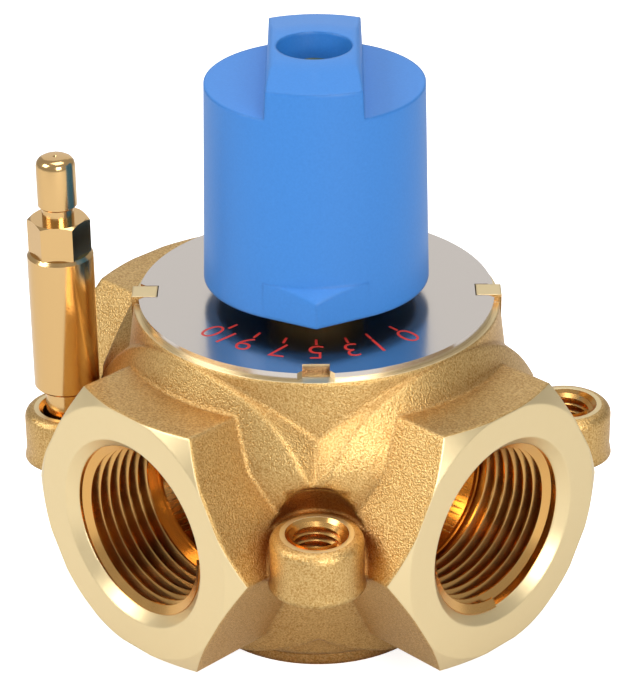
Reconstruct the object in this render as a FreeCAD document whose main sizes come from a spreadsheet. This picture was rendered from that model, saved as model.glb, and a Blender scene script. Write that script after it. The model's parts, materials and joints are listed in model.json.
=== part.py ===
"""Three-way rotary mixing valve, G 1, with hand knob and scale plate.

The origin is the centre of the flat face under the valve, Z runs up the spindle.
Ports point along -Y (mixed water), +X and -X; the four tapped bosses stand between them.
"""
import FreeCAD, Part
import os
import Sketcher

from FreeCAD import Placement, Rotation, Vector

doc = FreeCAD.newDocument("RotaryMixingValve")

# Sizes ----------------------------------------------------------------------------------

sheet = doc.addObject("Spreadsheet::Sheet", "Size")
scratch = doc.addObject("Spreadsheet::Sheet", "Scratch")

SIZES = {
    # forged body, outside
    "port_height": 35.2,
    "port_reach": 48.0,
    "hexagon_width": 49.0,
    "hexagon_face_radius": 24.8,
    "hexagon_chamfer": 2.3,
    "body_height": 66.3,
    "drum_top_radius": 34.3,
    "drum_foot_radius": 36.2,
    "drum_foot_height": 51.0,
    "waist_radius": 38.0,
    "neck_root_radius": 33.4,
    "neck_end_radius": 29.4,
    "neck_start": 20.0,
    "neck_finish": 42.0,
    "shoulder_radius": 41.0,
    "bowl_foot_radius": 25.0,
    "base_radius": 24.0,
    "base_height": 2.3,
    # tapped bosses
    "boss_circle_radius": 47.7,
    "boss_top_height": 43.5,
    "boss_foot_height": 33.4,
    "boss_top_radius": 6.8,
    "boss_foot_radius": 8.8,
    "boss_thread_radius": 4.25,
    "boss_thread_depth": 8.4,
    "boss_thread_chamfer": 0.75,
    "boss_relief_radius": 9.0,
    "boss_relief_height": 4.2,
    # lugs that hold the scale plate from turning
    "lug_inner_radius": 29.9,
    "lug_outer_radius": 34.6,
    "lug_width": 4.5,
    # ports
    "port_mouth_radius": 18.5,
    "port_thread_major_radius": 16.65,
    "port_thread_radius": 15.15,
    "port_counterbore_depth": 2.0,
    "port_thread_depth": 20.0,
    "port_bore_radius": 14.0,
    # chamber and cover seat
    "chamber_radius": 24.5,
    "chamber_floor": 14.5,
    "cover_seat_height": 62.0,
    "cover_seat_radius": 31.8,
    # cover
    "cover_fit": 0.05,
    "cover_edge_gap": 0.1,
    "cover_spigot_height": 55.5,
    "cover_neck_radius": 9.0,
    "cover_neck_top": 78.0,
    "seal_gap": 0.02,
    "cover_seal_section": 2.6,
    "cover_seal_height": 58.9,
    "screw_circle_radius": 28.0,
    "screw_radius": 2.0,
    "screw_tap_radius": 1.65,
    "screw_head_radius": 3.6,
    "screw_head_depth": 2.2,
    "screw_length": 10.0,
    "screw_slot_width": 0.9,
    "screw_slot_depth": 0.9,
    # spindle and its bearings
    "spindle_radius": 6.0,
    "spindle_fit": 0.05,
    "spindle_top_radius": 5.0,
    "spindle_step_height": 86.0,
    "spindle_flat": 3.5,
    "collar_radius": 8.0,
    "collar_thickness": 4.0,
    "collar_gap": 0.3,
    "tang_width": 8.0,
    "tang_length": 9.0,
    "tang_fit": 0.05,
    "seal_section": 1.8,
    "lower_seal_height": 63.0,
    "upper_seal_height": 71.0,
    "bush_radius": 7.5,
    "bush_length": 6.0,
    "bush_flange_radius": 8.6,
    "bush_flange_thickness": 0.8,
    # sector
    "sector_gap": 0.3,
    "sector_wall": 4.0,
    "sector_half_angle": 82.0,
    "sector_disc": 3.0,
    "sector_top": 53.5,
    "sector_hub_radius": 9.0,
    "sector_hub_length": 10.0,
    "journal_radius": 6.0,
    "journal_length": 7.0,
    "journal_gap": 0.5,
    "washer_thickness": 1.0,
    "washer_inner_radius": 8.3,
    "washer_outer_radius": 20.0,
    # scale plate
    "plate_radius": 33.34,
    "plate_thickness": 1.5,
    "plate_hole_gap": 0.15,
    "notch_width": 4.9,
    "notch_inner_radius": 29.7,
    "notch_mouth_width": 7.2,
    "notch_mouth_radius": 32.2,
    "clip_thickness": 1.2,
    "clip_groove_depth": 0.7,
    "clip_outer_radius": 11.6,
    "clip_opening": 5.0,
    # knob
    "knob_bottom": 71.6,
    "knob_bottom_radius": 21.0,
    "knob_top_radius": 20.0,
    "knob_rim_height": 115.3,
    "knob_top": 116.8,
    "knob_shoulder": 110.0,
    "knob_crown_radius": 10.0,
    "knob_bar_width": 17.6,
    "knob_bar_draft": 3.0,
    "knob_bar_fillet": 1.0,
    "knob_wall": 2.4,
    "knob_web": 3.0,
    "knob_hole_radius": 6.9,
    "knob_hole_floor": 109.9,
    "knob_screw_gap": 0.2,
    "knob_hub_radius": 8.2,
    "knob_hub_bottom": 84.0,
    "knob_rib_thickness": 1.8,
    "knob_fit": 0.05,
    "pointer_radius": 23.6,
    "pointer_tip_height": 76.4,
    "pointer_root_height": 78.4,
    "knob_screw_radius": 2.0,
    "knob_screw_length": 14.0,
    "knob_screw_head_radius": 3.6,
    "knob_screw_head": 2.6,
    "knob_washer_radius": 4.6,
    "knob_washer_thickness": 0.5,
    # anti-rotation pin
    "pin_stud_radius": 4.2,
    "pin_stud_length": 8.2,
    "pin_barrel_radius": 6.2,
    "pin_barrel_foot": 45.2,
    "pin_barrel_top": 74.0,
    "pin_barrel_chamfer": 0.6,
    "pin_hexagon_width": 10.8,
    "pin_hexagon_top": 80.6,
    "pin_collar_radius": 4.4,
    "pin_neck_radius": 3.0,
    "pin_collar_top": 81.4,
    "pin_head_foot": 84.4,
    "pin_head_radius": 3.6,
    "pin_head_top": 96.5,
}

WORKED_OUT = {
    "plate_top": "=body_height + plate_thickness",
    "seal_seat_radius": "=chamber_radius - cover_seal_section - 2 * seal_gap",
    "seal_groove_floor": "=spindle_radius + spindle_fit - seal_section - 2 * seal_gap",
    "cover_radius": "=cover_seat_radius - cover_edge_gap",
    "spigot_radius": "=chamber_radius - cover_fit",
    "cover_bore": "=spindle_radius + spindle_fit",
    "sector_radius": "=chamber_radius - sector_gap",
    "sector_bottom": "=chamber_floor + washer_thickness",
    "tang_foot": "=sector_top - tang_length",
    "collar_top": "=sector_top + collar_thickness",
    "spindle_top": "=knob_hole_floor - knob_web",
    "clip_seat_radius": "=cover_neck_radius - clip_groove_depth",
}


def fill_sheet():
    """One row a size: its name in column A, its value in column B under that name."""
    row = 0
    for name, value in list(SIZES.items()) + list(WORKED_OUT.items()):
        row += 1
        sheet.set("A%d" % row, name)
        sheet.set("B%d" % row, str(value))
        sheet.setAlias("B%d" % row, name)
    doc.recompute()


fill_sheet()


def number(formula):
    """What a formula over the sheet's names comes to, worked out in a scratch cell."""
    scratch.set("A1", "=" + formula)
    scratch.recompute()
    return float(scratch.get("A1"))


# Helpers --------------------------------------------------------------------------------

UP = Vector(0, 0, 1)
PORTS = {"mixed": (0, -1), "right": (1, 0), "left": (-1, 0)}
BOSS_ANGLES = (45, 135, 225, 315)
LUG_ANGLES = (45, 225)
SCREW_ANGLES = (0, 90, 180, 270)
PIN_ANGLE = 225
KNOB_ANGLE = 315


def bind(thing, formulas):
    """Tie properties of an object to formulas over the sheet."""
    for prop, formula in formulas.items():
        thing.setExpression(prop, formula)
    return thing


def primitive(kind, name, lift="0", **formulas):
    """A Part primitive standing on the Z axis, lifted to a height."""
    thing = doc.addObject("Part::" + kind, name)
    bind(thing, formulas)
    thing.setExpression("Placement.Base.z", lift)
    return thing


def cylinder(name, radius, foot, top):
    return primitive("Cylinder", name, foot, Radius=radius, Height="(%s) - (%s)" % (top, foot))


def cone(name, foot_radius, top_radius, foot, top):
    height = "(%s) - (%s)" % (top, foot)
    return primitive("Cone", name, foot, Radius1=foot_radius, Radius2=top_radius, Height=height)


def on_circle(thing, radius, angle):
    """Move an upright object out from the spindle axis, and turn it to face that way."""
    lift = dict(thing.ExpressionEngine).get("Placement.Base.z")
    thing.Placement.Rotation = Rotation(UP, angle)
    thing.setExpression("Placement.Base.x", "(%s) * cos(%d deg)" % (radius, angle))
    thing.setExpression("Placement.Base.y", "(%s) * sin(%d deg)" % (radius, angle))
    if lift:
        thing.setExpression("Placement.Base.z", lift)
    return thing


def beside_axis(box, start, side, lift, angle):
    """Place a box at a start along a direction, its width running from a side back across."""
    box.Placement.Rotation = Rotation(UP, angle)
    box.setExpression("Placement.Base.x",
                      "(%s) * cos(%d deg) + (%s) * sin(%d deg)" % (start, angle, side, angle))
    box.setExpression("Placement.Base.y",
                      "(%s) * sin(%d deg) - (%s) * cos(%d deg)" % (start, angle, side, angle))
    box.setExpression("Placement.Base.z", lift)
    return box


def on_port(thing, port, start="0"):
    """Lay an object's own Z along a port's axis, with its X level."""
    x, y = PORTS[port]
    thing.Placement.Rotation = Rotation(Vector(-y, x, 0), Vector(), Vector(x, y, 0), "ZXY")
    thing.setExpression("Placement.Base.x", "%d * (%s)" % (x, start))
    thing.setExpression("Placement.Base.y", "%d * (%s)" % (y, start))
    thing.setExpression("Placement.Base.z", "Size.port_height")
    return thing


def fuse(name, *shapes):
    joined = doc.addObject("Part::MultiFuse", name)
    joined.Shapes = list(shapes)
    joined.Refine = True
    return joined


def common(name, first, second):
    shared = doc.addObject("Part::MultiCommon", name)
    shared.Shapes = [first, second]
    return shared


def cut(name, base, tool):
    rest = doc.addObject("Part::Cut", name)
    rest.Base = base
    rest.Tool = tool
    return rest


def origin_plane(body, role):
    return next(plane for plane in body.Origin.OriginFeatures if plane.Role == role)


def new_body(name):
    body = doc.addObject("PartDesign::Body", name)
    body.Label = name
    return body


def sketch_on(body, role, name, outline):
    """A closed outline of straight lines, each corner held by a formula for each coordinate."""
    sketch = body.newObject("Sketcher::SketchObject", name)
    sketch.AttachmentSupport = (origin_plane(body, role), [""])
    sketch.MapMode = "FlatFace"
    corners = [(number(across), number(along)) for across, along in outline]
    for index, (across, along) in enumerate(corners):
        following = corners[(index + 1) % len(corners)]
        line = Part.LineSegment(Vector(across, along, 0), Vector(following[0], following[1], 0))
        sketch.addGeometry(line, False)
    for index in range(len(corners)):
        following = (index + 1) % len(corners)
        sketch.addConstraint(Sketcher.Constraint("Coincident", index, 2, following, 1))
    for index, (across, along) in enumerate(outline):
        hold(sketch, index, "DistanceX", across, corners[index][0], -2)
        hold(sketch, index, "DistanceY", along, corners[index][1], -1)
    return sketch


def hold(sketch, line, kind, formula, value, axis):
    """Hold a line's first point on an axis, or at a distance that follows a formula."""
    if formula == "0":
        sketch.addConstraint(Sketcher.Constraint("PointOnObject", line, 1, axis))
        return
    held = sketch.addConstraint(Sketcher.Constraint(kind, -1, 1, line, 1, value))
    sketch.setExpression("Constraints[%d]" % held, formula)


def turned(name, outline, lift="0"):
    """A body turned about Z from an outline of radius and height pairs."""
    body = new_body(name)
    profile = sketch_on(body, "XZ_Plane", name + "_outline", outline)
    turning = body.newObject("PartDesign::Revolution", name + "_turning")
    turning.Profile = profile
    turning.ReferenceAxis = (profile, ["V_Axis"])
    turning.Angle = 360
    body.Tip = turning
    return body


def groove(body, name, outline):
    """A ring cut into a turned body."""
    profile = sketch_on(body, "XZ_Plane", name + "_outline", outline)
    doc.recompute()
    ring = body.newObject("PartDesign::Groove", name)
    ring.Profile = profile
    ring.ReferenceAxis = (profile, ["V_Axis"])
    ring.Angle = 360
    body.Tip = ring
    return ring


def sub_part(thing, name):
    """Name a finished sub-part: its label becomes its file's name."""
    thing.Label = name
    SUB_PARTS.append(thing)
    return thing


SUB_PARTS = []


# Valve body: one forging ------------------------------------------------------------------

def forging_outside():
    """Drum on a bowl and a flat base, three hexagon ends on their necks, bosses and lugs."""
    drum = turned("drum", [
        ("0", "Size.base_height"),
        ("Size.bowl_foot_radius", "Size.base_height"),
        ("Size.waist_radius", "Size.port_height"),
        ("Size.drum_foot_radius", "Size.drum_foot_height"),
        ("Size.drum_top_radius", "Size.body_height"),
        ("0", "Size.body_height"),
    ])
    base = cylinder("base", "Size.base_radius", "0", "Size.base_height")
    pieces = [drum, base]
    for port in PORTS:
        pieces.append(hexagon_end(port))
        pieces.append(neck(port))
    for angle in BOSS_ANGLES:
        pieces.append(boss(angle))
    return fuse("forging_outside", *pieces)


def hexagon_end(port):
    """A hexagon bar along the port, its outer corners turned off."""
    bar = primitive("Prism", "hexagon_" + port, Circumradius="Size.hexagon_width / sqrt(3)",
                    Height="Size.port_reach")
    bar.Polygon = 6
    slope = "(Size.hexagon_width / sqrt(3) - Size.hexagon_face_radius) / Size.hexagon_chamfer"
    turning = primitive("Cone", "hexagon_turning_" + port,
                        Radius1="Size.hexagon_face_radius + Size.port_reach * " + slope,
                        Radius2="Size.hexagon_face_radius", Height="Size.port_reach")
    on_port(bar, port)
    on_port(turning, port)
    return common("hexagon_end_" + port, bar, turning)


def neck(port):
    """The round shoulder between the drum and the hexagon, drafted towards the hexagon."""
    round_neck = primitive("Cone", "neck_" + port, Radius1="Size.neck_root_radius",
                           Radius2="Size.neck_end_radius",
                           Height="Size.neck_finish - Size.neck_start")
    on_port(round_neck, port, "Size.neck_start")
    limit = turned("neck_limit_" + port, [
        ("0", "Size.base_height"),
        ("Size.bowl_foot_radius + 3", "Size.base_height"),
        ("Size.shoulder_radius", "Size.port_height"),
        ("Size.shoulder_radius", "Size.drum_foot_height"),
        ("Size.drum_top_radius", "Size.body_height"),
        ("0", "Size.body_height"),
    ])
    return common("shoulder_" + port, round_neck, limit)


def boss(angle):
    """A tapered boss on a web that ties it to the drum."""
    post = cone("boss_post_%d" % angle, "Size.boss_foot_radius", "Size.boss_top_radius",
                "Size.boss_foot_height", "Size.boss_top_height")
    on_circle(post, "Size.boss_circle_radius", angle)
    web = primitive("Box", "boss_web_%d" % angle, Length="Size.boss_circle_radius / 2",
                    Width="2 * Size.boss_top_radius",
                    Height="Size.boss_top_height - Size.boss_foot_height - 1.5")
    beside_axis(web, "Size.boss_circle_radius / 2", "Size.boss_top_radius",
                "Size.boss_foot_height", angle)
    return fuse("boss_%d" % angle, post, web)


def lug(angle):
    """A small upright lug at the rim, flush with the top of the scale plate."""
    block = primitive("Box", "lug_block_%d" % angle,
                      Length="Size.lug_outer_radius - Size.lug_inner_radius",
                      Width="Size.lug_width", Height="Size.plate_top - Size.cover_seat_height")
    return beside_axis(block, "Size.lug_inner_radius", "Size.lug_width / 2",
                       "Size.cover_seat_height", angle)


def forging_hollows():
    """Chamber, cover seat, ports and tapped holes, machined from one solid."""
    chamber = cylinder("chamber", "Size.chamber_radius", "Size.chamber_floor", "Size.body_height")
    journal_bore = cylinder("journal_bore", "Size.bush_radius",
                            "Size.chamber_floor - Size.journal_length - Size.journal_gap",
                            "Size.chamber_floor")
    hollows = [chamber, journal_bore]
    for port in PORTS:
        hollows.extend(port_hollow(port))
    for angle in BOSS_ANGLES:
        hollows.extend(boss_hollow(angle))
    for angle in SCREW_ANGLES:
        tapped = cylinder("screw_hole_%d" % angle, "Size.screw_tap_radius",
                          "Size.cover_seat_height - Size.screw_length", "Size.cover_seat_height")
        hollows.append(on_circle(tapped, "Size.screw_circle_radius", angle))
    return fuse("forging_hollows", *hollows)


def port_hollow(port):
    """Mouth countersink, counterbore, thread at its minor bore, and the smooth way in."""
    mouth_depth = "(Size.port_mouth_radius - Size.port_thread_major_radius)"
    mouth = primitive("Cone", "mouth_" + port, Radius1="Size.port_thread_major_radius",
                      Radius2="Size.port_mouth_radius", Height=mouth_depth)
    on_port(mouth, port, "Size.port_reach - " + mouth_depth)
    step = "(Size.port_thread_major_radius - Size.port_thread_radius)"
    run_in = primitive("Cone", "run_in_" + port, Radius1="Size.port_thread_radius",
                       Radius2="Size.port_thread_major_radius", Height=step)
    on_port(run_in, port, "Size.port_reach - %s - %s" % (mouth_depth, step))
    thread = primitive("Cylinder", "thread_" + port, Radius="Size.port_thread_radius",
                       Height="Size.port_thread_depth")
    on_port(thread, port, "Size.port_reach - Size.port_thread_depth")
    bore = primitive("Cylinder", "bore_" + port, Radius="Size.port_bore_radius",
                     Height="Size.port_reach")
    on_port(bore, port)
    return [mouth, run_in, thread, bore]


def boss_hollow(angle):
    """The tapped hole with its countersink, and the arched relief in the wall behind it."""
    floor = "(Size.boss_top_height - Size.boss_thread_depth)"
    hole = cylinder("boss_hole_%d" % angle, "Size.boss_thread_radius", floor,
                    "Size.boss_top_height")
    sink = cone("boss_sink_%d" % angle, "Size.boss_thread_radius",
                "Size.boss_thread_radius + Size.boss_thread_chamfer",
                "Size.boss_top_height - Size.boss_thread_chamfer", "Size.boss_top_height")
    relief = cylinder("boss_relief_%d" % angle, "Size.boss_relief_radius",
                      "Size.boss_top_height", "Size.boss_top_height + Size.boss_relief_height")
    return [on_circle(hole, "Size.boss_circle_radius", angle),
            on_circle(sink, "Size.boss_circle_radius", angle),
            on_circle(relief, "Size.boss_circle_radius", angle)]


def valve_body():
    """The cover's seat is bored first; the lugs then stand in its edge."""
    seat = cylinder("cover_seat", "Size.cover_seat_radius", "Size.cover_seat_height",
                    "Size.body_height")
    bored = cut("bored_forging", forging_outside(), fuse("all_hollows", forging_hollows(), seat))
    lugs = [lug(angle) for angle in LUG_ANGLES]
    sub_part(fuse("valve_body_forging", bored, *lugs), "valve_body")


# Cover, its screws and its seals ----------------------------------------------------------

def cover():
    """A turned cover: flange, spigot with its seal groove, and the neck round the spindle."""
    seal = "Size.cover_seal_section"
    blank = turned("cover_blank", [
        ("Size.cover_bore", "Size.cover_spigot_height"),
        ("Size.spigot_radius", "Size.cover_spigot_height"),
        ("Size.spigot_radius", "Size.cover_seat_height"),
        ("Size.cover_radius", "Size.cover_seat_height"),
        ("Size.cover_radius", "Size.body_height"),
        ("Size.cover_neck_radius", "Size.body_height"),
        ("Size.cover_neck_radius", "Size.cover_neck_top"),
        ("Size.cover_bore", "Size.cover_neck_top"),
    ])
    groove(blank, "cover_seal_groove", [
        ("Size.seal_seat_radius", "Size.cover_seal_height - %s * 0.65" % seal),
        ("Size.chamber_radius", "Size.cover_seal_height - %s * 0.65" % seal),
        ("Size.chamber_radius", "Size.cover_seal_height + %s * 0.65" % seal),
        ("Size.seal_seat_radius", "Size.cover_seal_height + %s * 0.65" % seal),
    ])
    groove(blank, "plate_clip_groove", [
        ("Size.clip_seat_radius", "Size.plate_top"),
        ("Size.cover_neck_radius + 1", "Size.plate_top"),
        ("Size.cover_neck_radius + 1", "Size.plate_top + Size.clip_thickness"),
        ("Size.clip_seat_radius", "Size.plate_top + Size.clip_thickness"),
    ])
    collar = cylinder("collar_recess", "Size.collar_radius + Size.collar_gap",
                      "Size.cover_spigot_height", "Size.collar_top + Size.collar_gap")
    bush = cylinder("bush_seat", "Size.bush_radius", "Size.cover_neck_top - Size.bush_length",
                    "Size.cover_neck_top")
    removed = [collar, bush]
    for angle in SCREW_ANGLES:
        shank = cylinder("cover_hole_%d" % angle, "Size.screw_radius + 0.2",
                         "Size.cover_seat_height", "Size.body_height")
        head = cone("cover_sink_%d" % angle, "Size.screw_radius + 0.2", "Size.screw_head_radius",
                    "Size.body_height - Size.screw_head_depth", "Size.body_height")
        removed.append(on_circle(shank, "Size.screw_circle_radius", angle))
        removed.append(on_circle(head, "Size.screw_circle_radius", angle))
    for angle in LUG_ANGLES:
        removed.append(lug_notch(angle))
    sub_part(cut("cover_drilled", blank, fuse("cover_holes", *removed)), "cover")


def lug_notch(angle):
    """The slot in the cover's edge that lets it past a lug."""
    gap = "Size.cover_edge_gap"
    slot = primitive("Box", "lug_notch_%d" % angle,
                     Length="Size.lug_outer_radius - Size.lug_inner_radius + " + gap,
                     Width="Size.lug_width + 2 * " + gap,
                     Height="Size.body_height - Size.cover_seat_height")
    return beside_axis(slot, "Size.lug_inner_radius - " + gap, "Size.lug_width / 2 + " + gap,
                       "Size.cover_seat_height", angle)


def o_ring(name, section, centre_radius, lift):
    ring = primitive("Torus", name + "_ring", lift, Radius1=centre_radius,
                     Radius2=section + " / 2")
    sub_part(ring, name)


def cover_screws():
    """Four countersunk screws, one group."""
    screws = []
    for angle in SCREW_ANGLES:
        name = "cover_screw_%d" % angle
        shank = cylinder(name + "_shank", "Size.screw_tap_radius",
                         "Size.cover_seat_height - Size.screw_length + 1", "Size.body_height - 1")
        head = cone(name + "_head", "Size.screw_tap_radius", "Size.screw_head_radius - 0.1",
                    "Size.body_height - Size.screw_head_depth", "Size.body_height - 0.1")
        screw = fuse(name, shank, head)
        slot = primitive("Box", name + "_slot", Length="2 * Size.screw_head_radius",
                         Width="Size.screw_slot_width", Height="Size.screw_slot_depth")
        beside_axis(slot, "-Size.screw_head_radius", "Size.screw_slot_width / 2",
                    "Size.body_height - Size.screw_slot_depth", 0)
        slotted = cut(name + "_slotted", screw, slot)
        screws.append(on_circle(slotted, "Size.screw_circle_radius", angle))
    group = doc.addObject("Part::Compound", "cover_screw_group")
    group.Links = screws
    sub_part(group, "cover_screws")


# Spindle and bearings ---------------------------------------------------------------------

def spindle():
    """Turned shaft with a square foot, a thrust collar, two seal grooves and a flat."""
    half_seal = "Size.seal_section * 0.65"
    shaft = turned("spindle_shaft", [
        ("0", "Size.sector_top"),
        ("Size.collar_radius", "Size.sector_top"),
        ("Size.collar_radius", "Size.collar_top"),
        ("Size.spindle_radius", "Size.collar_top"),
        ("Size.spindle_radius", "Size.spindle_step_height"),
        ("Size.spindle_top_radius", "Size.spindle_step_height"),
        ("Size.spindle_top_radius", "Size.spindle_top"),
        ("0", "Size.spindle_top"),
    ])
    for name in ("lower_seal", "upper_seal"):
        height = "Size.%s_height" % name
        groove(shaft, name + "_groove", [
            ("Size.seal_groove_floor", height + " - " + half_seal),
            ("Size.spindle_radius + 1", height + " - " + half_seal),
            ("Size.spindle_radius + 1", height + " + " + half_seal),
            ("Size.seal_groove_floor", height + " + " + half_seal),
        ])
    foot = primitive("Box", "spindle_foot", Length="Size.tang_width", Width="Size.tang_width",
                     Height="Size.tang_length")
    beside_axis(foot, "-Size.tang_width / 2", "Size.tang_width / 2", "Size.tang_foot", 0)
    flat = primitive("Box", "spindle_flat_cut", Length="2 * Size.spindle_top_radius",
                     Width="2 * Size.spindle_top_radius",
                     Height="Size.spindle_top - Size.spindle_step_height")
    beside_axis(flat, "Size.spindle_flat", "Size.spindle_top_radius",
                "Size.spindle_step_height", KNOB_ANGLE)
    tapped = cylinder("spindle_tapped_hole", "Size.knob_screw_radius",
                      "Size.spindle_top - Size.knob_screw_length", "Size.spindle_top")
    solid = fuse("spindle_solid", shaft, foot)
    sub_part(cut("spindle_finished", solid, fuse("spindle_cuts", flat, tapped)), "spindle")


def bush():
    """Flanged bush in the top of the cover's neck."""
    sub_part(turned("spindle_bush_turning", [
        ("Size.cover_bore", "Size.cover_neck_top - Size.bush_length"),
        ("Size.bush_radius", "Size.cover_neck_top - Size.bush_length"),
        ("Size.bush_radius", "Size.cover_neck_top"),
        ("Size.bush_flange_radius", "Size.cover_neck_top"),
        ("Size.bush_flange_radius", "Size.cover_neck_top + Size.bush_flange_thickness"),
        ("Size.cover_bore", "Size.cover_neck_top + Size.bush_flange_thickness"),
    ]), "spindle_bush")


def washer(name, inner, outer, foot, top):
    sub_part(turned(name + "_turning", [
        (inner, foot), (outer, foot), (outer, top), (inner, top),
    ]), name)


# Sector -----------------------------------------------------------------------------------

def sector():
    """Two discs, a wall that shuts a port, a square hub for the spindle and a journal."""
    wall_inner = "Size.sector_radius - Size.sector_wall"
    lower = cylinder("sector_lower_disc", "Size.sector_radius", "Size.sector_bottom",
                     "Size.sector_bottom + Size.sector_disc")
    upper = cylinder("sector_upper_disc", "Size.sector_radius",
                     "Size.sector_top - Size.sector_disc", "Size.sector_top")
    hub = cylinder("sector_hub", "Size.sector_hub_radius",
                   "Size.sector_top - Size.sector_hub_length", "Size.sector_top")
    journal = cylinder("sector_journal", "Size.journal_radius",
                       "Size.chamber_floor - Size.journal_length", "Size.sector_bottom")
    drum = primitive("Cylinder", "sector_wall_outer", "Size.sector_bottom",
                     Radius="Size.sector_radius", Angle="2 * Size.sector_half_angle",
                     Height="Size.sector_top - Size.sector_bottom")
    inner = primitive("Cylinder", "sector_wall_inner", "Size.sector_bottom", Radius=wall_inner,
                      Height="Size.sector_top - Size.sector_bottom")
    drum.Placement.Rotation = Rotation(UP, 90 - number("Size.sector_half_angle"))
    wall = cut("sector_wall", drum, inner)
    solid = fuse("sector_solid", lower, upper, hub, journal, wall)
    square = primitive("Box", "sector_square", Length="Size.tang_width + 2 * Size.tang_fit",
                       Width="Size.tang_width + 2 * Size.tang_fit", Height="Size.tang_length")
    beside_axis(square, "-Size.tang_width / 2 - Size.tang_fit",
                "Size.tang_width / 2 + Size.tang_fit", "Size.tang_foot", 0)
    sub_part(cut("sector_finished", solid, square), "sector")


# Scale plate ------------------------------------------------------------------------------

def scale_plate():
    """A stamped steel disc with four edge notches whose mouths flare."""
    blank = turned("plate_blank", [
        ("Size.cover_neck_radius + Size.plate_hole_gap", "Size.body_height"),
        ("Size.plate_radius", "Size.body_height"),
        ("Size.plate_radius", "Size.plate_top"),
        ("Size.cover_neck_radius + Size.plate_hole_gap", "Size.plate_top"),
    ])
    notch = new_body("plate_notch")
    outline = sketch_on(notch, "XY_Plane", "plate_notch_outline", [
        ("Size.notch_inner_radius", "Size.notch_width / 2"),
        ("Size.notch_inner_radius", "-Size.notch_width / 2"),
        ("Size.notch_mouth_radius", "-Size.notch_width / 2"),
        ("Size.plate_radius + 0.1", "-Size.notch_mouth_width / 2"),
        ("Size.plate_radius + 0.1", "Size.notch_mouth_width / 2"),
        ("Size.notch_mouth_radius", "Size.notch_width / 2"),
    ])
    pad = notch.newObject("PartDesign::Pad", "plate_notch_pad")
    pad.Profile = outline
    pad.setExpression("Length", "Size.plate_top")
    notches = []
    for angle in BOSS_ANGLES:
        copy = doc.addObject("Part::Compound", "plate_notch_%d" % angle)
        copy.Links = [notch]
        copy.Placement.Rotation = Rotation(UP, angle)
        notches.append(copy)
    sub_part(cut("plate_stamped", blank, fuse("plate_notches", *notches)), "scale_plate")


def plate_clip():
    """Open retaining ring in the neck's groove, lying on the plate."""
    ring = turned("clip_ring", [
        ("Size.clip_seat_radius + 0.05", "Size.plate_top"),
        ("Size.clip_outer_radius", "Size.plate_top"),
        ("Size.clip_outer_radius", "Size.plate_top + Size.clip_thickness - 0.1"),
        ("Size.clip_seat_radius + 0.05", "Size.plate_top + Size.clip_thickness - 0.1"),
    ])
    gap = primitive("Box", "clip_gap", Length="Size.clip_outer_radius", Width="Size.clip_opening",
                    Height="Size.clip_thickness")
    beside_axis(gap, "0", "Size.clip_opening / 2", "Size.plate_top", 90)
    sub_part(cut("clip_opened", ring, gap), "plate_clip")


# Knob -------------------------------------------------------------------------------------

def knob():
    """A deep moulded cap with a grip bar across its top, a pointer, and a hub inside."""
    outside = turned("knob_outside", [
        ("0", "Size.knob_bottom"),
        ("Size.knob_bottom_radius", "Size.knob_bottom"),
        ("Size.knob_top_radius", "Size.knob_rim_height"),
        ("Size.knob_crown_radius", "Size.knob_top"),
        ("0", "Size.knob_top"),
    ])
    shoulders = [knob_shoulder(side) for side in (-1, 1)]
    barred = cut("knob_barred", outside, fuse("knob_shoulders", *shoulders))
    shell = fuse("knob_with_pointer", barred, pointer())
    hollowed = cut("knob_hollowed", shell, knob_hollow())
    holes = knob_holes()
    with_hub = fuse("knob_with_hub", hollowed, *knob_inside())
    finished = cut("knob_finished", with_hub, holes)
    finished.Placement = Placement(Vector(), Rotation(UP, KNOB_ANGLE))
    sub_part(finished, "knob")


def knob_shoulder(side):
    """What is taken away beside the bar, leaving its sides drafted."""
    reach = "Size.knob_bottom_radius + 1"
    lean = "Size.knob_bar_width / 2 - (Size.knob_top + 1 - Size.knob_shoulder)"
    lean += " * tan(Size.knob_bar_draft * 1 deg)"
    outline = [
        ("%d * Size.knob_bar_width / 2" % side, "Size.knob_shoulder"),
        ("%d * (%s)" % (side, reach), "Size.knob_shoulder"),
        ("%d * (%s)" % (side, reach), "Size.knob_top + 1"),
        ("%d * (%s)" % (side, lean), "Size.knob_top + 1"),
    ]
    body = new_body("knob_shoulder_body_%d" % (side + 1))
    profile = sketch_on(body, "YZ_Plane", "knob_shoulder_outline_%d" % (side + 1), outline)
    pad = body.newObject("PartDesign::Pad", "knob_shoulder_%d" % (side + 1))
    pad.Profile = profile
    pad.Midplane = True
    pad.setExpression("Length", "2 * (%s)" % reach)
    return body


def pointer():
    """Two faces that leave the skirt tangentially and meet in a vertical edge."""
    body = new_body("pointer_body")
    across = "Size.knob_bottom_radius * sqrt(1 - (Size.knob_bottom_radius / Size.pointer_radius)^2)"
    along = "Size.knob_bottom_radius^2 / Size.pointer_radius"
    profile = sketch_on(body, "XY_Plane", "pointer_outline", [
        ("Size.pointer_radius", "0"),
        (along, across),
        ("Size.knob_bottom_radius / 2", "0"),
        (along, "-(%s)" % across),
    ])
    pad = body.newObject("PartDesign::Pad", "pointer_pad")
    pad.Profile = profile
    pad.setExpression("Length", "Size.pointer_root_height - Size.knob_bottom")
    slope = cone("pointer_slope",
                 "Size.pointer_radius + (Size.pointer_tip_height - Size.knob_bottom)"
                 " * (Size.pointer_radius - Size.knob_bottom_radius)"
                 " / (Size.pointer_root_height - Size.pointer_tip_height)",
                 "Size.knob_bottom_radius", "Size.knob_bottom", "Size.pointer_root_height")
    body.setExpression("Placement.Base.z", "Size.knob_bottom")
    return common("pointer", body, slope)


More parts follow.
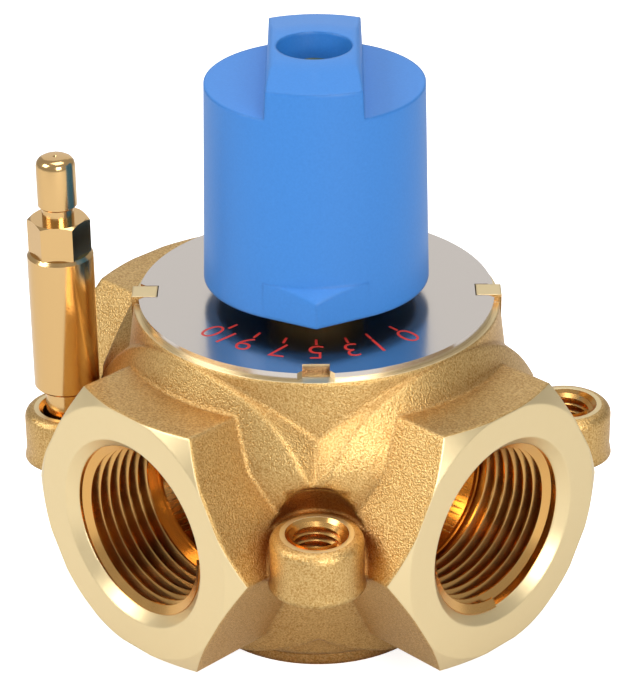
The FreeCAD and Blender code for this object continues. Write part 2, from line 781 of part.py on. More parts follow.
def knob_hollow():
    """The inside of the cap, a wall's thickness in from its skirt and its shoulders."""
    return turned("knob_hollow_turning", [
        ("0", "Size.knob_bottom"),
        ("Size.knob_bottom_radius - Size.knob_wall", "Size.knob_bottom"),
        ("Size.knob_top_radius - Size.knob_wall", "Size.knob_shoulder - Size.knob_wall"),
        ("0", "Size.knob_shoulder - Size.knob_wall"),
    ])


def knob_inside():
    """Hub down to the spindle's step, the web under the screw, and four ribs to the skirt."""
    hub = cylinder("knob_hub", "Size.knob_hub_radius", "Size.knob_hub_bottom",
                   "Size.knob_shoulder")
    pieces = [hub]
    for angle in (0, 90, 180, 270):
        rib = primitive("Box", "knob_rib_%d" % angle,
                        Length="Size.knob_top_radius - Size.knob_wall - Size.knob_hub_radius / 2",
                        Width="Size.knob_rib_thickness",
                        Height="Size.knob_shoulder - Size.knob_wall - Size.knob_hub_bottom - 2")
        beside_axis(rib, "Size.knob_hub_radius / 2 + 1", "Size.knob_rib_thickness / 2",
                    "Size.knob_hub_bottom + 2", angle)
        pieces.append(rib)
    return pieces


def knob_holes():
    """The screw's well from above, its hole, and the bore with a flat for the spindle."""
    well = cylinder("knob_well", "Size.knob_hole_radius", "Size.knob_hole_floor",
                    "Size.knob_top + 1")
    screw_hole = cylinder("knob_screw_hole", "Size.knob_screw_radius + Size.knob_screw_gap",
                          "Size.spindle_top", "Size.knob_hole_floor")
    bore = cylinder("knob_bore_round", "Size.spindle_top_radius + Size.knob_fit",
                    "Size.knob_hub_bottom - 1", "Size.spindle_top")
    flat = primitive("Box", "knob_bore_flat", Length="Size.spindle_top_radius",
                     Width="3 * Size.spindle_top_radius",
                     Height="Size.spindle_top - Size.spindle_step_height")
    beside_axis(flat, "Size.spindle_flat + Size.knob_fit", "1.5 * Size.spindle_top_radius",
                "Size.spindle_step_height", 0)
    step = cylinder("knob_bore_step", "Size.spindle_radius + Size.knob_fit",
                    "Size.knob_hub_bottom - 1", "Size.spindle_step_height")
    return fuse("knob_holes", well, screw_hole, cut("knob_bore", bore, flat), step)


def knob_screw():
    """Pan head screw with a cross recess, down the middle of the knob."""
    foot = "Size.knob_hole_floor + Size.knob_washer_thickness"
    shank = cylinder("knob_screw_shank", "Size.knob_screw_radius - 0.05",
                     "Size.spindle_top - Size.knob_screw_length + 2", foot)
    head = cylinder("knob_screw_head_disc", "Size.knob_screw_head_radius", foot,
                    foot + " + Size.knob_screw_head")
    arms = []
    for name, turn in (("first", 0), ("second", 90)):
        arm = primitive("Box", "cross_%s_arm" % name, Length="Size.knob_screw_head_radius * 1.2",
                        Width="Size.screw_slot_width", Height="Size.screw_slot_depth * 1.6")
        beside_axis(arm, "-Size.knob_screw_head_radius * 0.6", "Size.screw_slot_width / 2",
                    foot + " + Size.knob_screw_head - Size.screw_slot_depth * 1.6", turn)
        arms.append(arm)
    solid = fuse("knob_screw_solid", shank, head)
    finished = cut("knob_screw_finished", solid, fuse("cross_recess", *arms))
    sub_part(finished, "knob_screw")


# Anti-rotation pin ------------------------------------------------------------------------

def torque_pin():
    """One turned brass pin: stud, barrel, hexagon for the spanner, neck and domed head."""
    shank = turned("pin_turning", [
        ("0", "Size.boss_top_height - Size.pin_stud_length"),
        ("Size.pin_stud_radius", "Size.boss_top_height - Size.pin_stud_length"),
        ("Size.pin_stud_radius", "Size.pin_barrel_foot"),
        ("Size.pin_barrel_radius - Size.pin_barrel_chamfer", "Size.pin_barrel_foot"),
        ("Size.pin_barrel_radius", "Size.pin_barrel_foot + Size.pin_barrel_chamfer"),
        ("Size.pin_barrel_radius", "Size.pin_barrel_top"),
        ("Size.pin_collar_radius", "Size.pin_barrel_top"),
        ("Size.pin_collar_radius", "Size.pin_collar_top"),
        ("Size.pin_neck_radius", "Size.pin_collar_top"),
        ("Size.pin_neck_radius", "Size.pin_head_foot"),
        ("Size.pin_head_radius", "Size.pin_head_foot"),
        ("Size.pin_head_radius", "Size.pin_head_top - Size.pin_head_radius / 2"),
        ("Size.pin_head_radius * 0.6", "Size.pin_head_top"),
        ("0", "Size.pin_head_top"),
    ])
    hexagon = primitive("Prism", "pin_hexagon", "Size.pin_barrel_top",
                        Circumradius="Size.pin_hexagon_width / sqrt(3)",
                        Height="Size.pin_hexagon_top - Size.pin_barrel_top")
    hexagon.Polygon = 6
    pin = fuse("pin_solid", shank, hexagon)
    sub_part(on_circle(pin, "Size.boss_circle_radius", PIN_ANGLE), "torque_pin")


# Build and write --------------------------------------------------------------------------

def write_parts():
    doc.removeObject(scratch.Name)
    doc.recompute()
    for thing in doc.Objects:
        if "Invalid" in thing.State or "Error" in thing.State:
            raise RuntimeError("%s did not build: %s" % (thing.Label, thing.State))
    os.makedirs("parts", exist_ok=True)
    for thing in SUB_PARTS:
        shape = thing.Shape
        if shape.isNull() or not shape.isValid():
            raise RuntimeError("%s has no sound shape" % thing.Label)
        shape.exportStep("parts/%s.step" % thing.Label)
        print("%-20s %2d solid  %9.1f mm3" % (thing.Label, len(shape.Solids), shape.Volume))


valve_body()
cover()
o_ring("cover_seal", "Size.cover_seal_section",
       "Size.chamber_radius - Size.seal_gap - Size.cover_seal_section / 2",
       "Size.cover_seal_height")
cover_screws()
sector()
washer("floor_washer", "Size.bush_radius + 0.2", "Size.washer_outer_radius",
       "Size.chamber_floor", "Size.sector_bottom")
washer("journal_bush", "Size.journal_radius + Size.spindle_fit", "Size.bush_radius",
       "Size.chamber_floor - Size.journal_length", "Size.chamber_floor")
washer("thrust_washer", "Size.washer_inner_radius", "Size.washer_outer_radius",
       "Size.sector_top", "Size.sector_top + Size.washer_thickness")
washer("spring_washer", "Size.washer_inner_radius", "Size.washer_outer_radius - 3",
       "Size.sector_top + Size.washer_thickness", "Size.cover_spigot_height")
spindle()
for seal_name in ("lower_seal", "upper_seal"):
    o_ring("spindle_" + seal_name, "Size.seal_section",
           "Size.cover_bore - Size.seal_gap - Size.seal_section / 2",
           "Size.%s_height" % seal_name)
bush()
scale_plate()
plate_clip()
knob()
washer("knob_washer", "Size.knob_screw_radius + Size.knob_screw_gap", "Size.knob_washer_radius",
       "Size.knob_hole_floor", "Size.knob_hole_floor + Size.knob_washer_thickness")
knob_screw()
torque_pin()
write_parts()
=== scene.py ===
# %% [markdown]
# # A three-way rotary mixing valve, G 1
# A shot-blasted brass forging has three tapped hexagon ends, four tapped bosses, and a flat
# base. On top sit a satin steel scale plate and a deep blue hand knob, and a turned brass pin
# stands on the boss at the front left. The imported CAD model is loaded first. It gives every
# piece its place, in metres, so nothing below has to be fitted by eye.

# %% Load the frame
import bpy
import json
import math
from mathutils import Matrix, Vector

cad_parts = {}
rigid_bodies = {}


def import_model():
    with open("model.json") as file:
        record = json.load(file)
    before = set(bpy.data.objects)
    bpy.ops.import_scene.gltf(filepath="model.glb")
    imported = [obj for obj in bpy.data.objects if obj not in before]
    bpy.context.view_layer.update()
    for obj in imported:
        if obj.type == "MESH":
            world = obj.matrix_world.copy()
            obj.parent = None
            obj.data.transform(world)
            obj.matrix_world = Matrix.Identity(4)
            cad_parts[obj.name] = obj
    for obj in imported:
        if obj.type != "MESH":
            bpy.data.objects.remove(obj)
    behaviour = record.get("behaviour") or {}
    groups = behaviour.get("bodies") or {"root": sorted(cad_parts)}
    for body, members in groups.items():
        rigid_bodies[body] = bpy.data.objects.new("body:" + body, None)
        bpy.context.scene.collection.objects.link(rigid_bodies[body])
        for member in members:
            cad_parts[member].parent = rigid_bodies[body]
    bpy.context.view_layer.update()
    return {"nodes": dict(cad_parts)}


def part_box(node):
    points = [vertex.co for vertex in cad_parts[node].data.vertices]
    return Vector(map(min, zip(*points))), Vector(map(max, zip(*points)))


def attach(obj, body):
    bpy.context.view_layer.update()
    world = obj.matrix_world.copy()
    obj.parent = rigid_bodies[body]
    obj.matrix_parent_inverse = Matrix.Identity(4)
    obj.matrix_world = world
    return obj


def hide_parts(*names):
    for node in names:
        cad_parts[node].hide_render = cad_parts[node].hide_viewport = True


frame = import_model()
MM = 0.001

# %% [markdown]
# ## Camera
# A view from above a corner of the valve shows two ports, the scale and the knob at once. A
# long lens keeps the verticals nearly parallel. The camera is placed by its three axes. The
# Standard view shows colours as they are written, with no film curve over them.

# %% Camera
CAMERA_PLACE = (0.33437928, -0.32986171, 0.29882620)
camera_data = bpy.data.cameras.new("camera")
camera_data.sensor_fit = "HORIZONTAL"
camera_data.sensor_width = 36
camera_data.lens = 161.77
camera = bpy.data.objects.new("camera", camera_data)
bpy.context.scene.collection.objects.link(camera)
camera_right = Vector((0.70374153, 0.71039717, -0.00914994))
camera_up = Vector((-0.3213727, 0.32979499, 0.88766821))
camera_back = camera_right.cross(camera_up)
camera_turn = Matrix((camera_right, camera_up, camera_back)).transposed().to_4x4()
camera.matrix_world = Matrix.Translation(CAMERA_PLACE) @ camera_turn
bpy.context.scene.camera = camera
bpy.context.scene.view_settings.view_transform = "Standard"
print("camera at", tuple(round(value / MM) for value in camera.location), "mm")

# %% [markdown]
# ## Colours and nodes
# Colours are written as sRGB hex values, as a paint chart gives them, and one function turns
# them into the linear values that the renderer works in. Every shader node is added by one
# small function that takes its settings and its links.

# %% Colour and node helpers
def linear(code):
    """An sRGB hex colour as linear red, green, blue and alpha."""
    channels = [int(code[start:start + 2], 16) / 255 for start in (0, 2, 4)]
    turned = [c / 12.92 if c <= 0.04045 else ((c + 0.055) / 1.055) ** 2.4 for c in channels]
    return (*turned, 1.0)


def add_node(tree, kind, settings=(), links=()):
    """Add a node: settings name sockets or properties, links name sockets and their sources."""
    node = tree.nodes.new(kind)
    for name, value in dict(settings).items():
        if isinstance(name, int) or name in node.inputs:
            node.inputs[name].default_value = value
        else:
            setattr(node, name, value)
    for name, source in dict(links).items():
        tree.links.new(source, node.inputs[name])
    return node


def new_material(name, colour, metallic, roughness):
    """A material with its main values set on the shader's own sockets."""
    material = bpy.data.materials.new(name)
    material.use_nodes = True
    shader = material.node_tree.nodes["Principled BSDF"]
    shader.inputs["Base Color"].default_value = linear(colour)
    shader.inputs["Metallic"].default_value = metallic
    shader.inputs["Roughness"].default_value = roughness
    print("material", name)
    return material, material.node_tree, shader


# %% [markdown]
# ## Shot-blasted brass
# The forging is blasted with shot, which leaves dents about a third of a millimetre across.
# Each dent catches the light on one side, so the surface sparkles although it is matt. A noise
# texture gives the dents as bumps, and the same noise paints the base colour lighter on their
# rims as painted glints and darker in their floors as painted shade, over a slow random blotch
# of tone. The Bevel node reads soft normals across the edges, as a forging die leaves them
# round, and the Ambient Occlusion node paints shade into the creases by darkening the base
# colour there.

# %% Shot-blasted brass
DENT = 0.34 * MM
blasted_brass, tree, shader = new_material("brass_shot_blasted", "D9AE66", 1.0, 0.38)
coords = add_node(tree, "ShaderNodeTexCoord").outputs["Object"]
dents = add_node(tree, "ShaderNodeTexNoise", {"Scale": 1 / DENT, "Detail": 2.0, "Roughness": 0.6},
                 {"Vector": coords})
clouds = add_node(tree, "ShaderNodeTexNoise", {"Scale": 1 / (14 * MM), "Detail": 3.0},
                  {"Vector": coords})
# Painted glints and painted shade: where the dent noise is high, on the dent rims, the base
# colour is lighter, and where it is low, in the dent floors, it is darker. The slow clouds noise
# is a random blotch of tone.
dent_glint_and_shade_share = add_node(tree, "ShaderNodeMapRange", {"From Min": 0.30, "From Max": 0.68},
                     {"Value": dents.outputs["Fac"]})
blotch_and_dent_shade_tone = add_node(tree, "ShaderNodeMix", {"data_type": "RGBA", 6: linear("AC7B39"),
                                              7: linear("BD9150")},
                      {0: clouds.outputs["Fac"]})
grain_glint_and_shade_tone = add_node(tree, "ShaderNodeMix", {"data_type": "RGBA", 7: linear("E4C283")},
                      {0: dent_glint_and_shade_share.outputs["Result"], 6: blotch_and_dent_shade_tone.outputs[2]})
soft_edges = add_node(tree, "ShaderNodeBevel", {"samples": 6, "Radius": 1.3 * MM})
dent_bump = add_node(tree, "ShaderNodeBump", {"Strength": 1.0, "Distance": 0.13 * MM},
                     {"Height": dents.outputs["Fac"], "Normal": soft_edges.outputs["Normal"]})
# Painted shade: the Ambient Occlusion node darkens the base colour towards B4844F in creases and
# recesses, and the multiply lays this over the grain.
crease_shade = add_node(tree, "ShaderNodeAmbientOcclusion", {"samples": 6, "Distance": 4 * MM})
painted_crease_shade_tone = add_node(tree, "ShaderNodeMix", {"data_type": "RGBA", 6: linear("B4844F"),
                                               7: linear("FFFFFF")},
                       {0: crease_shade.outputs["AO"]})
blasted_tone_with_painted_light = add_node(tree, "ShaderNodeMix", {"data_type": "RGBA", "blend_type": "MULTIPLY",
                                             0: 1.0},
                     {6: grain_glint_and_shade_tone.outputs[2], 7: painted_crease_shade_tone.outputs[2]})
tree.links.new(blasted_tone_with_painted_light.outputs[2], shader.inputs["Base Color"])
tree.links.new(dent_bump.outputs["Normal"], shader.inputs["Normal"])

# %% [markdown]
# ## Machined brass
# The port faces, the rings round the boss holes and the lug tops are milled after blasting.
# They are paler than the forging, with a soft sheen and faint tool marks.

# %% Machined brass
machined_brass, tree, shader = new_material("brass_face_milled", "ECD6A6", 1.0, 0.40)
coords = add_node(tree, "ShaderNodeTexCoord").outputs["Object"]
marks = add_node(tree, "ShaderNodeTexNoise", {"Scale": 1 / (2.2 * MM), "Detail": 5.0,
                                              "Roughness": 0.65}, {"Vector": coords})
mark_roughness = add_node(tree, "ShaderNodeMapRange", {"To Min": 0.34, "To Max": 0.48},
                          {"Value": marks.outputs["Fac"]})
soft_edges = add_node(tree, "ShaderNodeBevel", {"samples": 6, "Radius": 0.6 * MM})
mark_bump = add_node(tree, "ShaderNodeBump", {"Strength": 0.25, "Distance": 0.05 * MM},
                     {"Height": marks.outputs["Fac"], "Normal": soft_edges.outputs["Normal"]})
tree.links.new(mark_roughness.outputs["Result"], shader.inputs["Roughness"])
tree.links.new(mark_bump.outputs["Normal"], shader.inputs["Normal"])

# %% [markdown]
# ## Cut brass inside the ports and holes
# A tap and a boring bar leave clean, bright, deeper coloured brass. In a hole it reflects mostly
# itself, which turns it towards copper brown.

# %% Cut brass
cut_brass, tree, shader = new_material("brass_tapped", "DDAA64", 1.0, 0.22)
coords = add_node(tree, "ShaderNodeTexCoord").outputs["Object"]
cut_noise = add_node(tree, "ShaderNodeTexNoise", {"Scale": 1 / (3.0 * MM), "Detail": 1.0},
                     {"Vector": coords})
cut_roughness = add_node(tree, "ShaderNodeMapRange", {"To Min": 0.16, "To Max": 0.28},
                         {"Value": cut_noise.outputs["Fac"]})
tree.links.new(cut_roughness.outputs["Result"], shader.inputs["Roughness"])

# %% [markdown]
# ## Turned brass
# The pin is bar stock turned in a lathe. The tool advances about 0.15 mm a turn, so fine rings
# run round it. Wave bands along Z draw them, at twice that pitch so that they just show. At a
# scale of 1, one wave of this texture is 0.314 long.

# %% Turned brass
RING_PITCH = 0.3 * MM
WAVE_LENGTH = 0.314
turned_brass, tree, shader = new_material("brass_turned", "DDB67C", 1.0, 0.17)
coords = add_node(tree, "ShaderNodeTexCoord").outputs["Object"]
rings = add_node(tree, "ShaderNodeTexWave", {"wave_type": "BANDS", "bands_direction": "Z",
                                             "Scale": WAVE_LENGTH / RING_PITCH,
                                             "Distortion": 0.6},
                 {"Vector": coords})
ring_bump = add_node(tree, "ShaderNodeBump", {"Strength": 0.12, "Distance": 0.02 * MM},
                     {"Height": rings.outputs["Fac"]})
tree.links.new(ring_bump.outputs["Normal"], shader.inputs["Normal"])

# %% [markdown]
# ## Satin stainless steel
# The scale plate is rolled sheet with a tight satin finish. It mirrors the knob above it,
# slightly blurred, and shows a fine grain where the light grazes it.

# %% Satin stainless steel
satin_steel, tree, shader = new_material("steel_rolled_satin", "D2CAC3", 1.0, 0.17)
coords = add_node(tree, "ShaderNodeTexCoord").outputs["Object"]
sheet_grain = add_node(tree, "ShaderNodeTexNoise", {"Scale": 1 / (0.35 * MM), "Detail": 3.0},
                       {"Vector": coords})
sheet_roughness = add_node(tree, "ShaderNodeMapRange", {"To Min": 0.10, "To Max": 0.28},
                           {"Value": sheet_grain.outputs["Fac"]})
sheet_bump = add_node(tree, "ShaderNodeBump", {"Strength": 0.16, "Distance": 0.02 * MM},
                      {"Height": sheet_grain.outputs["Fac"]})
tree.links.new(sheet_roughness.outputs["Result"], shader.inputs["Roughness"])
tree.links.new(sheet_bump.outputs["Normal"], shader.inputs["Normal"])

# %% [markdown]
# ## Moulded nylon
# The knob is injection moulded in glass-filled nylon. The mould is spark eroded, so its skin is
# matt with a very fine grain, and a mould never has sharp edges.

# %% Moulded nylon
blue_nylon, tree, shader = new_material("nylon_moulded_blue", "1666BE", 0.0, 0.42)
shader.inputs["IOR"].default_value = 1.53
coords = add_node(tree, "ShaderNodeTexCoord").outputs["Object"]
skin = add_node(tree, "ShaderNodeTexNoise", {"Scale": 1 / (0.45 * MM), "Detail": 3.0},
                {"Vector": coords})
skin_tone = add_node(tree, "ShaderNodeMix", {"data_type": "RGBA", 6: linear("2A74C2"),
                                             7: linear("3582D0")}, {0: skin.outputs["Fac"]})
soft_edges = add_node(tree, "ShaderNodeBevel", {"samples": 6, "Radius": 0.9 * MM})
skin_bump = add_node(tree, "ShaderNodeBump", {"Strength": 0.30, "Distance": 0.04 * MM},
                     {"Height": skin.outputs["Fac"], "Normal": soft_edges.outputs["Normal"]})
tree.links.new(skin_tone.outputs[2], shader.inputs["Base Color"])
tree.links.new(skin_bump.outputs["Normal"], shader.inputs["Normal"])

# %% [markdown]
# ## The small finishes
# The rest is bought in: a yellow zinc plated screw, rubber rings, slippery white washers, spring
# steel, and the red enamel that prints the scale. Each has a little unevenness of its own.

# %% Small finishes
def plain_finish(name, colour, metallic, roughness, grain, depth):
    """A finish whose only pattern is a fine unevenness of the given grain size."""
    material, tree, shader = new_material(name, colour, metallic, roughness)
    coords = add_node(tree, "ShaderNodeTexCoord").outputs["Object"]
    noise = add_node(tree, "ShaderNodeTexNoise", {"Scale": 1 / grain, "Detail": 3.0},
                     {"Vector": coords})
    bump = add_node(tree, "ShaderNodeBump", {"Strength": 0.3, "Distance": depth},
                    {"Height": noise.outputs["Fac"]})
    tree.links.new(bump.outputs["Normal"], shader.inputs["Normal"])
    return material


zinc_yellow = plain_finish("steel_yellow_zinc", "D8B45A", 1.0, 0.26, 0.8 * MM, 0.02 * MM)
black_rubber = plain_finish("rubber_moulded", "1B1B1D", 0.0, 0.55, 0.5 * MM, 0.03 * MM)
white_polymer = plain_finish("polymer_turned_white", "E9E7E0", 0.0, 0.38, 0.9 * MM, 0.02 * MM)
spring_steel = plain_finish("steel_spring_oiled", "6E6F73", 1.0, 0.30, 0.6 * MM, 0.02 * MM)
red_enamel = plain_finish("enamel_printed_red", "C4352C", 0.0, 0.35, 0.3 * MM, 0.01 * MM)

# %% [markdown]
# ## Modelling helpers
# Operators act on everything that is selected, and the loader leaves the CAD nodes selected, so
# each piece starts by deselecting all. A finished piece has its place in its mesh, with its
# object at the origin, and rides on the body that it belongs to.

# %% Modelling helpers
MERGE_DISTANCE = 0.001 * MM
NEAR = 0.01 * MM


def choose(piece):
    """Make one object the only selected one, and the active one."""
    bpy.ops.object.select_all(action="DESELECT")
    piece.select_set(True)
    bpy.context.view_layer.objects.active = piece


def bake_place(piece):
    """Move an object's place, turn and scale into its mesh."""
    choose(piece)
    bpy.ops.object.transform_apply(location=True, rotation=True, scale=True)


def apply_modifier(piece, kind, name, **settings):
    """Add a modifier, set it up and apply it."""
    choose(piece)
    modifier = piece.modifiers.new(name, kind)
    for key, value in settings.items():
        setattr(modifier, key, value)
    bpy.ops.object.modifier_apply(modifier=name)


def on_whole_mesh(piece, *operators):
    """Run edit mode operators on everything in a mesh."""
    choose(piece)
    bpy.ops.object.mode_set(mode="EDIT")
    bpy.ops.mesh.select_all(action="SELECT")
    for operator, settings in operators:
        operator(**settings)
    bpy.ops.object.mode_set(mode="OBJECT")


def soften(piece, degrees):
    """Shade smooth, with edges sharper than an angle kept crisp."""
    choose(piece)
    bpy.ops.object.shade_smooth_by_angle(angle=math.radians(degrees))


def finish_piece(piece, material, body):
    """Give a piece its finish and its body, and print its face count."""
    if material:
        piece.data.materials.clear()
        piece.data.materials.append(material)
    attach(piece, body)
    print(piece.name, "rides on", body, "with", len(piece.data.polygons), "faces")


def copy_of_node(node, name):
    """A merged copy of a CAD node's mesh, free to be shaped, that stands for the node."""
    mesh = frame["nodes"][node].data.copy()
    piece = bpy.data.objects.new(name, mesh)
    bpy.context.scene.collection.objects.link(piece)
    choose(piece)
    bpy.ops.mesh.customdata_custom_splitnormals_clear()
    on_whole_mesh(piece, (bpy.ops.mesh.remove_doubles, {"threshold": MERGE_DISTANCE}))
    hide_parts(node)
    return piece


def same_again(piece, name):
    """A copy of a piece with its own mesh."""
    twin = piece.copy()
    twin.data = piece.data.copy()
    twin.name = name
    bpy.context.scene.collection.objects.link(twin)
    return twin


# %% [markdown]
# ## Valve body
# The CAD forging gives the outline. The steps below add the web over each boss, the arched
# niche that leaves room round it, and the boss itself with its round edges. The sizes come
# first, as the drawing of a forging lists them.

# %% Sizes of the valve body
UP = Vector((0, 0, 1))
PORT_AXES = {"mixed": Vector((0, -1, 0)), "right": Vector((1, 0, 0)), "left": Vector((-1, 0, 0))}
PORT_HEIGHT = 35.2 * MM
PORT_THREAD = {"crest": 15.15 * MM, "root": 16.62 * MM, "pitch": 2.309 * MM, "turns": 7}
PORT_THREAD_FOOT = 28.2 * MM
PORT_THREAD_LEAD = 1.2 * MM
PORT_TAPPED_DEPTH = 17.9 * MM
BOSS_ANGLES = (45, 135, 225, 315)
BOSS_WITH_PIN = 225
BOSS_CIRCLE = 47.7 * MM
BOSS_TOP = 43.5 * MM
BOSS_POST = {"radius": 8.45 * MM, "foot": 34.0 * MM, "top": BOSS_TOP, "top_round": 1.8 * MM,
             "foot_round": 1.4 * MM}
BOSS_THREAD = {"crest": 4.3 * MM, "root": 5.0 * MM, "pitch": 1.5 * MM, "turns": 5}
BOSS_THREAD_FOOT = 35.4 * MM
BOSS_THREAD_LEAD = 0.3 * MM
BOSS_BORE_OVERRUN = 0.5 * MM
COUNTERSINK = {"radius1": 4.6 * MM, "radius2": 6.2 * MM, "depth": 1.6 * MM}
COUNTERSINK_DROP = 0.3 * MM
WEB = {"ridge_foot": 42.2 * MM, "ridge_top": 36.4 * MM, "foot": 35.2 * MM, "top": 51.3 * MM,
       "width": 17.0 * MM, "ridge": 2.3 * MM}
WEB_ROOT = 9 * MM
NICHE = {"radius": 11.0 * MM, "foot": BOSS_TOP - 1.8 * MM, "top": 50.2 * MM,
         "top_round": 8.5 * MM}
NICHE_FLATTENING = 0.86
BASE_GROOVE = {"major_radius": 24.7 * MM, "minor_radius": 0.75 * MM,
               "location": (0, 0, 2.9 * MM)}
print("valve body:", len(PORT_AXES), "ports and", len(BOSS_ANGLES), "bosses")

# %% [markdown]
# Rounded posts and wedges are made upright at the origin, baked into their meshes, and then
# joined to the forging or taken away from it with exact Booleans.

# %% Tools for the valve body
def lay(piece, foot, axis):
    """Turn a piece from Z to an axis, put its foot in place, and bake that into its mesh."""
    piece.rotation_mode = "QUATERNION"
    piece.rotation_quaternion = UP.rotation_difference(axis)
    piece.location = foot
    bake_place(piece)


def boss_axis_point(angle, height):
    """A point on the axis of the boss at an angle."""
    turn = math.radians(angle)
    return Vector((BOSS_CIRCLE * math.cos(turn), BOSS_CIRCLE * math.sin(turn), height))


def bore(body, foot, axis, radius, depth):
    """Cut a round hole into the body."""
    bpy.ops.object.select_all(action="DESELECT")
    bpy.ops.mesh.primitive_cylinder_add(vertices=96, radius=radius, depth=depth)
    cutter = bpy.context.object
    lay(cutter, foot + axis * depth / 2, axis)
    apply_modifier(body, "BOOLEAN", "bore", operation="DIFFERENCE", object=cutter,
                   solver="EXACT")
    bpy.data.objects.remove(cutter)


def soft_post(radius, foot, top, top_round, foot_round=0):
    """An upright round post at the origin, its top and bottom edges rounded."""
    bpy.ops.object.select_all(action="DESELECT")
    bpy.ops.mesh.primitive_cylinder_add(vertices=72, radius=radius, depth=top - foot,
                                        location=(0, 0, (foot + top) / 2))
    post = bpy.context.object
    bake_place(post)
    for height, rounding in ((top, top_round), (foot, foot_round)):
        if not rounding:
            continue
        bpy.ops.object.mode_set(mode="EDIT")
        bpy.ops.mesh.select_mode(type="EDGE")
        bpy.ops.mesh.select_all(action="DESELECT")
        bpy.ops.object.mode_set(mode="OBJECT")
        for edge in post.data.edges:
            ends = [post.data.vertices[index].co.z for index in edge.vertices]
            edge.select = max(abs(end - height) for end in ends) < NEAR
        bpy.ops.object.mode_set(mode="EDIT")
        bpy.ops.mesh.bevel(offset=rounding, segments=5, affect="EDGES")
        bpy.ops.object.mode_set(mode="OBJECT")
    return post


def wedge(ridge_foot, ridge_top, foot, top, width, ridge):
    """A leaning block whose outer face comes forward to a ridge down its middle."""
    bpy.ops.object.select_all(action="DESELECT")
    inner = ridge_top - WEB_ROOT
    bpy.ops.mesh.primitive_cube_add(size=1, location=((inner + ridge_foot) / 2, 0,
                                                      (foot + top) / 2))
    block = bpy.context.object
    block.scale = (ridge_foot - inner, width, top - foot)
    bake_place(block)

    def pick(kind, rule):
        """Select the corners or faces whose place fits a rule, and stay in edit mode."""
        bpy.ops.object.mode_set(mode="EDIT")
        bpy.ops.mesh.select_mode(type=kind)
        bpy.ops.mesh.select_all(action="DESELECT")
        bpy.ops.object.mode_set(mode="OBJECT")
        things = block.data.vertices if kind == "VERT" else block.data.polygons
        for thing in things:
            thing.select = rule(thing.co if kind == "VERT" else thing.center)
        bpy.ops.object.mode_set(mode="EDIT")

    pick("FACE", lambda at: at.x > ridge_foot - NEAR)
    bpy.ops.mesh.subdivide(number_cuts=1)
    bpy.ops.object.mode_set(mode="OBJECT")
    pick("VERT", lambda at: at.x > ridge_foot - NEAR and abs(at.y) > NEAR)
    bpy.ops.transform.translate(value=(-ridge, 0, 0))
    bpy.ops.object.mode_set(mode="OBJECT")
    middle = (foot + top) / 2
    for height, share in ((top, 1.0), (middle, 0.5)):
        pick("VERT", lambda at: at.x > inner + NEAR and abs(at.z - height) < NEAR)
        bpy.ops.transform.translate(value=(-(ridge_foot - ridge_top) * share, 0, 0))
        bpy.ops.object.mode_set(mode="OBJECT")
    return block


def combine(body, tool, operation):
    """Add a tool to the body, or take it away, and delete the tool."""
    apply_modifier(body, "BOOLEAN", "combined", operation=operation, object=tool,
                   solver="EXACT")
    bpy.data.objects.remove(tool)

# %% [markdown]
# Each boss gets its web, its niche and its post, in that order, so that the niche cuts the web
# and the post stands clear inside the niche.

# %% Webs, niches and bosses
valve_body = copy_of_node("valve_body", "valve_body_forged")
for angle in BOSS_ANGLES:
    web = wedge(**WEB)
    web.rotation_euler.z = math.radians(angle)
    bake_place(web)
    combine(valve_body, web, "UNION")
    niche = soft_post(**NICHE)
    niche.scale.y = NICHE_FLATTENING
    niche.rotation_euler.z = math.radians(angle)
    niche.location = boss_axis_point(angle, 0)
    bake_place(niche)
    combine(valve_body, niche, "DIFFERENCE")
    post = soft_post(**BOSS_POST)
    post.location = boss_axis_point(angle, 0)
    bake_place(post)
    combine(valve_body, post, "UNION")
    print("boss at", angle, "degrees: the body has", len(valve_body.data.polygons), "faces")

# %% [markdown]
# A shallow groove sets the base ring off from the drum. Then the holes are opened. The CAD has
# them at the tap drill size, and a tap cuts outwards from there, so each is bored to the outer
# diameter of its thread, and each boss is countersunk. The threads themselves come later.

# %% Groove and tapped holes
bpy.ops.object.select_all(action="DESELECT")
bpy.ops.mesh.primitive_torus_add(major_segments=96, minor_segments=12, **BASE_GROOVE)
groove = bpy.context.object
bake_place(groove)
combine(valve_body, groove, "DIFFERENCE")
for axis in PORT_AXES.values():
    foot = UP * PORT_HEIGHT + axis * PORT_THREAD_FOOT
    bore(valve_body, foot, axis, PORT_THREAD["root"], PORT_TAPPED_DEPTH)
for angle in BOSS_ANGLES:
    bore(valve_body, boss_axis_point(angle, BOSS_THREAD_FOOT), UP, BOSS_THREAD["root"],
         BOSS_TOP - BOSS_THREAD_FOOT + BOSS_BORE_OVERRUN)
    bpy.ops.object.select_all(action="DESELECT")
    bpy.ops.mesh.primitive_cone_add(vertices=72, **COUNTERSINK)
    cone = bpy.context.object
    lay(cone, boss_axis_point(angle, BOSS_TOP - COUNTERSINK_DROP), UP)
    combine(valve_body, cone, "DIFFERENCE")
soften(valve_body, 28)
print("body opened:", len(valve_body.data.polygons), "faces")

# %% [markdown]
# The forging carries three finishes: blasted outside, milled on its faces, and cut in its holes.
# Each face is sorted by where it is and which way it looks, as a machinist would mark them.

# %% Sort the body's faces by finish
BLASTED, MILLED, CUT = range(3)
PORT_HOLE_START = 25 * MM
PORT_HOLE_RADIUS = 17 * MM
PORT_CHAMFER_START = 46.2 * MM
PORT_FACE_START = 44 * MM
BOSS_HOLE_START = 34 * MM
BOSS_HOLE_RADIUS = 5.8 * MM
BOSS_RING_START = 43.4 * MM
BOSS_RING_RADIUS = 6.7 * MM
CHAMBER_RADIUS = 25 * MM
CHAMBER_FLOOR = 6 * MM
BASE_SKIN = 0.05 * MM
LUG_TOP_START = 66.2 * MM
LEVEL = 0.9
valve_body.data.materials.clear()
for material in (blasted_brass, machined_brass, cut_brass):
    valve_body.data.materials.append(material)


